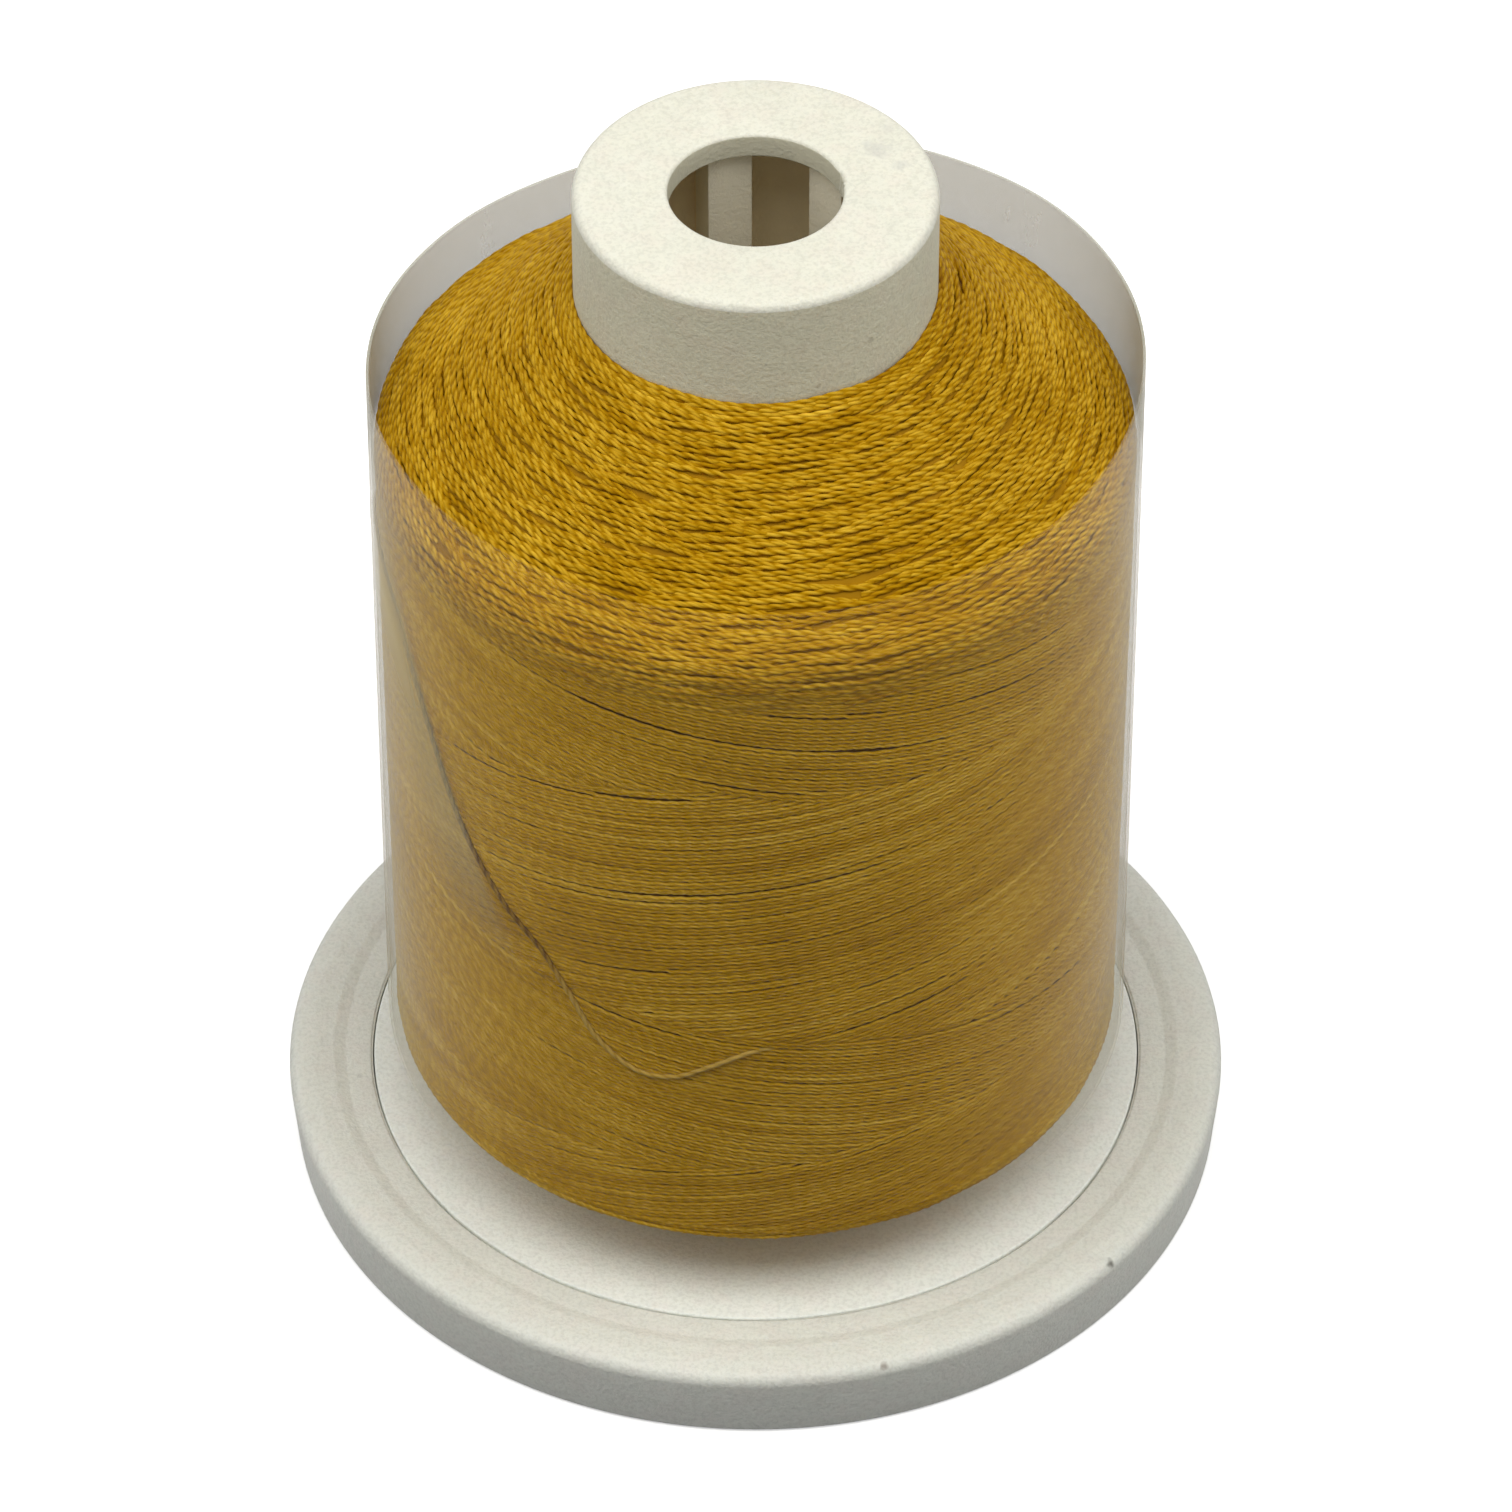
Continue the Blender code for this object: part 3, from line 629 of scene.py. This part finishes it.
# Where the rising family lies on top: between the first two zigzag edges and below the third.
# Each edge is (azimuth in degrees, height in mm), read round the spool.
EDGE_A = [(-180, 38.3), (-146, 36.5), (-96, 40.3), (-77, 39.8), (-45, 39.9), (0, 42.4), (52, 39.5),
          (96, 42.0), (148, 40.1), (180, 38.3)]
EDGE_B = [(-180, 27.4), (-119, 24.1), (-56, 20.9), (14, 24.7), (62, 22.1), (120, 25.3), (150, 25.8), (180, 27.4)]
EDGE_C = [(-180, 15.6), (-140, 13.7), (-110, 13.4), (-78, 14.0), (-34, 16.4), (26, 13.1), (84, 16.3),
          (138, 13.3), (180, 15.6)]
# Open lines between neighbouring threads: azimuth and height at both ends, and how open.
GROOVES_UP = [(-146, 36.4, -95, 40.1, .9), (-135, 34.15, -112, 35.9, .6), (-138, 30.9, -68, 34.9, 1.1),
              (-136, 30.5, -84, 33.5, .6), (-79, 34.7, -36, 36.4, .9), (-127, 27.5, -98, 29.4, .8),
              (-121, 26.5, -98, 27.9, .7), (-109.5, 24.2, -98.5, 25.1, .5), (-79, 26.0, -49, 27.5, .8),
              (-79, 24.3, -30, 26.3, 1.0), (-79, 23.2, -48, 25.0, .8), (-78, 14.0, -60, 14.9, .6),
              (-60, 37.5, -28, 39.2, .7), (-92, 29.7, -52, 31.6, .6), (-60, 29.3, -22, 31.3, .8),
              (-130, 12.0, -84, 13.6, .5), (-168, 33.0, -140, 34.6, .6)]
OPEN_UP = len(GROOVES_UP)
GROOVES_DOWN = [(-109, 46.7, -68, 44.6, .9), (-120, 45.2, -68, 42.2, 1.1), (-138.5, 46.1, -98, 43.95, .8),
                (-101, 41.2, -77, 39.95, .8), (-79, 42.9, -58, 41.6, .7), (-119, 24.1, -56, 20.9, .8),
                (-161, 21.6, -115, 19.3, .5), (-52, 20.3, -20, 18.6, .6), (-66, 46.2, -34, 44.4, .7),
                (-150, 43.6, -122, 42.0, .6), (-98, 18.9, -62, 17.0, .4), (-60, 44.1, -22, 42.0, .6)]
OPEN_DOWN = len(GROOVES_DOWN)
_more = np.random.default_rng(5)
for _ in range(34):
    a0, width = _more.uniform(-22, 190), _more.uniform(18, 62)
    z0 = _more.uniform(10, 46)
    GROOVES_UP.append((a0, z0, a0 + width, z0 + SLOPE * width, _more.uniform(0.4, 1.1)))
    a0, width = _more.uniform(-22, 190), _more.uniform(18, 62)
    z0 = _more.uniform(10, 47)
    GROOVES_DOWN.append((a0, z0, a0 + width, z0 - SLOPE * width, _more.uniform(0.4, 1.1)))


def edge_height(edge, deg):
    x = (deg + 180) % 360 - 180
    e = np.array(edge, float)
    return np.interp(x, e[:, 0], e[:, 1])


def rising_on_top(deg, z):
    a, b, c = (edge_height(e, deg) for e in (EDGE_A, EDGE_B, EDGE_C))
    rising = ((z < a) & (z > b)) | (z < c)
    # along an open line the threads that form it are the ones on top
    for grooves, value in ((GROOVES_UP[:OPEN_UP], True), (GROOVES_DOWN[:OPEN_DOWN], False)):
        for a0, z0, a1, z1, _how in grooves:
            x = (deg - a0) % 360
            d = z - (z0 + (z1 - z0) * x / (a1 - a0))
            rising = np.where((x <= a1 - a0) & (np.abs(d) < 0.55), value, rising)
    return rising


def open_up(deg, z, grooves):
    """Moves a thread aside where it runs along an open line."""
    push = np.zeros_like(z)
    for a0, z0, a1, z1, how in grooves:
        x = (deg - a0) % 360
        inside = x <= a1 - a0
        if not inside.any():
            continue
        x = x[inside]
        d = z[inside] - (z0 + (z1 - z0) * x / (a1 - a0))
        taper = ease(x, 0, 4) * ease(a1 - a0 - x, 0, 4)
        push[inside] += np.where(d >= 0, 1, -1) * (0.034 + 0.024 * how) * taper * np.exp(-(d / 0.42) ** 2)
    return push


def side_strands(stores, sign, seed):
    r = np.random.default_rng(seed)
    step = 0.2
    d_az = step / SIDE_R
    grooves = GROOVES_UP if sign > 0 else GROOVES_DOWN
    count = int(PITCH / SPACING)
    band, bands_tone = 0, 0.47
    for k in range(count):
        if band == 0:
            band, bands_tone = int(r.integers(5, 19)), 0.47 + r.normal() * 0.035
        band -= 1
        c = (k + r.normal() * 0.05) * PITCH / count
        tone = bands_tone + r.normal() * 0.04
        a0, a1 = sign * TAU * (Z_LOW + c) / PITCH, sign * TAU * (Z_HIGH + c) / PITCH
        n = int(abs(a1 - a0) / d_az)
        az = np.linspace(a0, a1, n)
        z = sign * PITCH * az / TAU - c
        deg = np.degrees(az)
        top = rising_on_top(deg, z) == (sign > 0)
        change = np.flatnonzero(np.diff(top.astype(int)) != 0)
        dist = np.full(n, 1e6)
        for e in change:
            dist = np.minimum(dist, np.abs(np.arange(n) - (e + 0.5)) * step)
        beyond = np.where(top, -dist, dist)
        lift = CENTRE_OUT - 0.2 * ease(beyond, -0.4, 0.6) + 0.010 * wander(r, n, step, 3.0)
        end = np.minimum(np.arange(n), n - 1 - np.arange(n)) * step
        lift = lift - 0.16 * (1 - ease(end, 0.0, 2.5))
        keep = beyond < 1.2
        wob = 0.014 * wander(r, n, step, 7.0) + 0.010 * wander(r, n, step, 2.0) + open_up(deg, z, grooves)
        tn = tone + 0.07 * wander(r, n, step, 22.0) + 0.05 * wander(r, n, step, 3.0)
        starts = np.flatnonzero(np.diff(np.concatenate([[0], keep.astype(int), [0]])) == 1)
        stops = np.flatnonzero(np.diff(np.concatenate([[0], keep.astype(int), [0]])) == -1)
        t = t_at_z(np.clip(z + wob, 8.6, 47.6))
        p, nn = on_surface(t, az, lift)
        for a, b in zip(starts, stops):
            # split between the stores by height, so that each piece is a band of the side
            zone = np.clip(((z[a:b] - Z_LOW) / (Z_HIGH - Z_LOW) * len(stores)).astype(int), 0, len(stores) - 1)
            for q in range(len(stores)):
                inside = np.flatnonzero(zone == q)
                if len(inside) < 4:
                    continue
                i, j = a + inside[0], min(a + inside[-1] + 2, b)
                stores[q].add(p[i:j], nn[i:j], 0.124, r.uniform(1.25, 2.1), r.uniform(0, TAU), tn[i:j], az[i:j])


side_stores = [Strands(SIDE_RING) for _ in range(5)]
side_strands(side_stores, +1, 21)
side_strands(side_stores, -1, 22)
for k, st in enumerate(side_stores):
    pieces_of_thread.append(st.make(f"thread_side_{k + 1}", SIDE_THREAD_LIT, "spool"))

# The older layers underneath, seen only as the dark lines between strands; their dark colour, darkest below the cone,
# is painted shade.
inner = [(WIND_LO.x * 0 + 9.3, TOP - 0.3)]
t_all = np.linspace(0.25, T_END, 90)
for t in t_all:
    r, z = float(np.interp(t, _dense, _pr)), float(np.interp(t, _dense, _pz))
    nr, nz = float(np.interp(t, _dense, _nr)), float(np.interp(t, _dense, _nz))
    inner.append((r - nr * 0.12, z - nz * 0.12))
inner.append((9.3, 4.95))
core_thread = turned("thread_inner_layers", inner, 144, UNDER_THREAD_SHADE, sharp=60)
layer = core_thread.data.attributes.new("tone", "FLOAT", "POINT")
level = np.empty(len(core_thread.data.vertices) * 3, np.float32)
core_thread.data.vertices.foreach_get("co", level)
# painted shade: the under-layers are dark below 46.6 mm and lighter under the cone
layer.data.foreach_set("value", np.where(level[2::3] > 0.0466, 0.62, -0.15).astype(np.float32))
layer = core_thread.data.attributes.new("crease", "FLOAT", "POINT")
layer.data.foreach_set("value", np.full(len(core_thread.data.vertices), 0.5, np.float32))
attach(core_thread, "spool")
pieces_of_thread.append(core_thread)
for ob in pieces_of_thread:
    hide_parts("thread_winding")

# ------------------------------------------------------------------ the loose end under the film
ROUTE = [(-84.0, 22.7), (-91.0, 22.3), (-97.0, 21.2), (-102.5, 20.2), (-108.7, 20.2),
         (-115.0, 21.8), (-119.5, 24.2), (-124.5, 26.5), (-131.0, 28.2), (-138.4, 30.8), (-143.8, 33.4),
         (-148.5, 36.3), (-153.8, 39.0), (-161.0, 41.6), (-172.0, 43.2), (-186.0, 44.0)]


def smooth_route(points, count):
    pts = np.array([points[0], *points, points[-1]], float)
    fine = []
    for i in range(1, len(pts) - 2):
        p0, p1, p2, p3 = pts[i - 1:i + 3]
        t = np.linspace(0, 1, 40, endpoint=False)[:, None]
        fine.append(0.5 * (2 * p1 + (p2 - p0) * t + (2 * p0 - 5 * p1 + 4 * p2 - p3) * t ** 2
                           + (3 * p1 - p0 - 3 * p2 + p3) * t ** 3))
    fine = np.concatenate([*fine, pts[-1:]])
    k = math.radians(1) * SIDE_R
    run = np.concatenate([[0], np.cumsum(np.hypot(np.diff(fine[:, 0]) * k, np.diff(fine[:, 1])))])
    s = np.linspace(0, run[-1], count)
    return np.interp(s, run, fine[:, 0]), np.interp(s, run, fine[:, 1]), s


tail_deg, tail_z, tail_s = smooth_route(ROUTE, 420)
st = Strands(UPPER_RING)
edge = np.minimum(tail_s, tail_s[-1] - tail_s)
p, nn = on_surface(t_at_z(tail_z), np.radians(tail_deg), 0.12 - 0.30 * (1 - ease(edge, 0.0, 3.4)))
# painted shadow: the loose end is dark along its upper diagonal and light lower down
st.add(p, nn, 0.125, 1.5, 0.3, 0.08 + 0.92 * ease(tail_deg, -124, -115) + 0.12 * wander(rng, 420, tail_s[1], 3.0),
       np.radians(tail_deg), flat=0.14)
tail = st.make("thread_tail_strand", TAIL_THREAD, "spool")
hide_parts("thread_tail")

# ------------------------------------------------------------------ mouldings
bead_z = 8.0 - 1.1
BASE_OUTLINE = rounded([
    (4.90, 8.0, 0.35), (7.35, 8.0, 0.45), (7.35, bead_z + 0.35, 0), (7.60, bead_z + 0.1, 0.1),
    (7.60, bead_z - 0.15, 0.1), (7.35, bead_z - 0.4, 0), (7.35, 2.30, 0.3), (20.87, 2.30, 0.15),
    (20.87, 3.88, 0.03), (20.95, 3.90, 0.02), (20.95, 4.10, 0.12), (22.35, 4.12, 0.6), (23.0, 4.31, 0.9), (24.1, 4.39, 1.5),
    (25.46, 4.27, 0.95), (25.1, 0.0, 0.35), (22.6, 0.0, 0.2), (22.45, 1.10, 0.15), (9.0, 1.10, 0.15),
    (8.9, 0.3, 0.15), (5.5, 0.3, 0.1), (4.90, 0.9, 0.1)], steps=7)
CORE_OUTLINE = rounded([
    (4.38, COLLAR_TOP, 0.22), (COLLAR_R, COLLAR_TOP, 0.48), (COLLAR_R, 4.10, 0.25), (20.80, 4.10, 0.13),
    (20.80, 2.60, 0.12), (7.75, 2.60, 0.2), (7.75, 6.2, 0), (8.05, 6.5, 0.05), (8.05, 7.6, 0.05),
    (7.75, 7.9, 0), (7.75, COLLAR_TOP - 1.4, 0.3), (4.38, COLLAR_TOP - 1.4, 0.12)], steps=7)


def bars(name, count, first_deg, inner_r, outer_r, width, z0, z1, mat, round_in=0.0):
    verts, quads = [], []
    for i in range(count):
        a = math.radians(first_deg + 360 * i / count)
        o, s = np.array([math.cos(a), math.sin(a), 0]), np.array([-math.sin(a), math.cos(a), 0])
        b = len(verts)
        for z in (z0, z1):
            for r, w in ((inner_r, -1), (outer_r, -1), (outer_r, 1), (inner_r, 1)):
                verts.append(o * r + s * (w * width / 2) + np.array([0, 0, z]))
        quads += [[b, b + 3, b + 2, b + 1], [b + 4, b + 5, b + 6, b + 7], [b, b + 1, b + 5, b + 4],
                  [b + 1, b + 2, b + 6, b + 5], [b + 2, b + 3, b + 7, b + 6], [b + 3, b, b + 4, b + 7]]
    ob = new_mesh(name, verts, quads, smooth=False)
    ob.data.materials.append(mat)
    ob.hide_render = True
    ob.display_type = "WIRE"
    return ob


def union(ob, guide):
    mod = ob.modifiers.new("join", "BOOLEAN")
    mod.operation, mod.solver, mod.object = "UNION", "EXACT", guide
    dg = bpy.context.evaluated_depsgraph_get()
    made = bpy.data.meshes.new_from_object(ob.evaluated_get(dg), depsgraph=dg)
    ob.modifiers.clear()
    old = ob.data
    made.name = old.name + "_joined"
    ob.data = made
    bpy.data.meshes.remove(old)
    bpy.data.objects.remove(guide)
    ob.data.shade_smooth()
    ob.data.set_sharp_from_angle(angle=math.radians(34))
    return ob


def nick(verts):
    """A small ragged nick in the bore's edge, on its right."""
    r = np.hypot(verts[..., 0], verts[..., 1])
    az = np.degrees(np.arctan2(verts[..., 1], verts[..., 0]))
    d = np.abs((az - 14.0 + 180) % 360 - 180)
    near = (1 - ease(d, 2.0, 11.0)) * (1 - ease(np.abs(r - 4.38), 0.0, 0.55)) * ease(verts[..., 2], COLLAR_TOP - 1.5, COLLAR_TOP - 1.3)
    rag = 0.5 + 0.5 * np.sin(az * 1.7 + verts[..., 2] * 9.0)
    grow = near * rag * 0.22
    out = verts.copy()
    out[..., 0] *= 1 + grow / np.maximum(r, 1e-6)
    out[..., 1] *= 1 + grow / np.maximum(r, 1e-6)
    out[..., 2] -= near * rag * 0.12 * (verts[..., 2] > COLLAR_TOP - 0.5)
    return out




def seam(verts):
    """The recess is shallower in front than at the left front and the right, as moulded."""
    r = np.hypot(verts[..., 0], verts[..., 1])
    az = np.arctan2(verts[..., 1], verts[..., 0])
    ledge = (np.abs(r - 20.91) < 0.07) & (np.abs(verts[..., 2] - 3.89) < 0.08)
    deg = np.degrees(az)

    def lobe(at, wide):
        return np.exp(-((((deg - at + 180) % 360 - 180) / wide) ** 2))

    out = verts.copy()
    out[..., 2] += ledge * (0.155 - 0.17 * lobe(-128, 24) - 0.18 * lobe(-38, 16) - 0.03 * lobe(70, 60)
                            + 0.015 * np.sin(9 * az + 0.8))
    return out


base = turned("snap_base_shell", BASE_OUTLINE, 180, BASE_WHITE, sharp=34, shift=seam)
base = union(base, bars("web_guide", 8, 22.5, 8.3, 23.1, 1.0, 0.35, 1.5, BASE_WHITE))
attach(base, "base")
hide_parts("snap_base")

core = turned("spool_core_shell", CORE_OUTLINE, 180, WHITE, sharp=34, shift=nick)
core = union(core, bars("rib_guide", 6, 105.0, 4.95, 8.25, 2.25, 9.2, COLLAR_TOP - 0.9, WHITE))
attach(core, "spool")
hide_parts("spool_core")

# ------------------------------------------------------------------ film sleeve
FILM_TOP, FILM_BOTTOM = 52.23, FILM_LO.z
SEG, ROWS = 240, 90


def film_top(a):
    return (FILM_TOP + 0.70 * np.cos(a - math.radians(-51.4)) + 0.456 * np.cos(2 * (a - math.radians(21.0)))
            + 0.05 * np.sin(5 * a + 1.0) + 0.03 * np.sin(11 * a + 0.4))


def film_shell():
    a = np.arange(SEG) * TAU / SEG
    share = np.linspace(0, 1, ROWS)
    tops = film_top(a)
    z = FILM_BOTTOM + 0.05 + np.outer(share, tops - FILM_BOTTOM - 0.05)
    az = np.broadcast_to(a, z.shape)
    out_r = 19.90 + (19.70 - 19.90) * (z - 8.3) / 44.0
    # film is never quite round: long soft buckles, and a ridge where the loose end lies
    out_r = out_r + 0.018 * np.sin(3 * az + 0.07 * z) + 0.012 * np.sin(7 * az - 0.11 * z + 1.3)
    deg = np.degrees(az)
    d = np.full(z.shape, 9.0)
    for td, tz in zip(tail_deg[::6], tail_z[::6]):
        dx = ((deg - td + 180) % 360 - 180) * math.radians(1) * SIDE_R
        d = np.minimum(d, np.hypot(dx, z - tz))
    out_r = out_r + 0.03 * np.exp(-(d / 0.6) ** 2)
    in_r = out_r - 0.14
    outer = np.stack([out_r * np.cos(az), out_r * np.sin(az), z], -1)
    inn = np.stack([in_r * np.cos(az), in_r * np.sin(az), z], -1)
    verts = np.concatenate([outer, inn[::-1]]).reshape(-1, 3)
    rows = 2 * ROWS
    i, j = np.meshgrid(np.arange(rows), np.arange(SEG), indexing="ij")
    ni, nj = (i + 1) % rows, (j + 1) % SEG
    quads = np.stack([i * SEG + j, i * SEG + nj, ni * SEG + nj, ni * SEG + j], -1).reshape(-1, 4)
    ob = new_mesh("clear_film_sleeve", verts, quads, sharp=40)
    ob.data.materials.append(FILM)
    return ob


film = film_shell()
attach(film, "sleeve")
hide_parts("clear_sleeve")

# ------------------------------------------------------------------ floor, light, camera
floor_mat = Nodes("pale_floor")
fn = floor_mat.noise(12.0, 2.0, 0.5)
floor_mat.link(floor_mat.mix(floor_mat.ramp(fn, [(0.3, (0, 0, 0)), (0.7, (1, 1, 1))]), (0.93, 0.93, 0.925), (0.95, 0.95, 0.945)),
               floor_mat.shader.inputs["Base Color"])
floor_mat.shader.inputs["Roughness"].default_value = 0.9
floor_mat.shader.inputs["Specular IOR Level"].default_value = 0.1
# A sheet of paper that runs back and curves up.
prof = [(-0.9, -0.00002)] + [(0.55 + 0.25 * math.sin(t), 0.25 - 0.25 * math.cos(t)) for t in np.linspace(0, math.pi / 2, 12)] + [(0.80, 1.2)]
vs, qs = [], []
for k, (y, z) in enumerate(prof):
    vs += [(-900.0, y * 1000, z * 1000), (900.0, y * 1000, z * 1000)]
    if k:
        qs.append([2 * k - 2, 2 * k - 1, 2 * k + 1, 2 * k])
floor = new_mesh("floor_sheet", vs, qs)
floor.data.materials.append(floor_mat.mat)
floor_mat.shader.inputs["Emission Color"].default_value = (1, 1, 1, 1)
floor_mat.shader.inputs["Emission Strength"].default_value = 0.42
floor.visible_diffuse = False              # no light bounced up, so upright faces stay soft and shaded

world = bpy.data.worlds.new("studio")
world.use_nodes = True
bpy.context.scene.world = world
wt = world.node_tree
bg = wt.nodes["Background"]
sky_c = wt.nodes.new("ShaderNodeTexCoord")
sky_s = wt.nodes.new("ShaderNodeSeparateXYZ")
sky_r = wt.nodes.new("ShaderNodeValToRGB")
sky_m = wt.nodes.new("ShaderNodeMapRange")
wt.links.new(sky_c.outputs["Generated"], sky_s.inputs[0])
wt.links.new(sky_s.outputs["Z"], sky_m.inputs["Value"])
sky_m.inputs["From Min"].default_value = -1.0
sky_m.inputs["From Max"].default_value = 1.0
wt.links.new(sky_m.outputs[0], sky_r.inputs[0])
e = sky_r.color_ramp.elements
e[0].position, e[0].color = 0.42, (0.095, 0.098, 0.104, 1)
e[1].position, e[1].color = 0.86, (0.40, 0.405, 0.415, 1)
wt.links.new(sky_r.outputs[0], bg.inputs["Color"])
bg.inputs["Strength"].default_value = 1.0


def area(name, place, aim, size, power, colour=(1, 1, 1), shape="RECTANGLE"):
    data = bpy.data.lights.new(name, "AREA")
    data.shape = shape
    data.size = size[0]
    if shape in ("RECTANGLE", "ELLIPSE"):
        data.size_y = size[1]
    data.energy = power
    data.color = colour
    ob = bpy.data.objects.new(name, data)
    ob.location = place
    ob.rotation_mode = "QUATERNION"
    ob.rotation_quaternion = (Vector(aim) - Vector(place)).to_track_quat("-Z", "Y")
    bpy.context.scene.collection.objects.link(ob)
    return ob


area("overhead", (0.0, -0.13, 0.42), (0, 0, 0.03), (0.30, 0.22), 0.75, (1.0, 0.99, 0.955))
area("side_left", (-0.33, -0.05, 0.36), (0, 0, 0.03), (0.34, 0.34), 0.63, (1.0, 0.99, 0.95))
area("side_right", (0.33, -0.05, 0.36), (0, 0, 0.03), (0.34, 0.34), 0.63, (1.0, 0.99, 0.95))

cam_data = bpy.data.cameras.new("camera")
cam = bpy.data.objects.new("camera", cam_data)
bpy.context.scene.collection.objects.link(cam)
elev, dist, aim_z = 0.7408, 0.42564, 0.02523
cam.location = (0.0, -dist * math.cos(elev), aim_z + dist * math.sin(elev))
cam.rotation_euler = (math.pi / 2 - elev, 0.0, 0.0)
cam_data.sensor_width = 36.0
cam_data.lens = 191.94
cam_data.shift_x = 0.0003
cam_data.clip_start, cam_data.clip_end = 0.02, 10.0
bpy.context.scene.camera = cam
bpy.context.scene.view_settings.view_transform = "Standard"
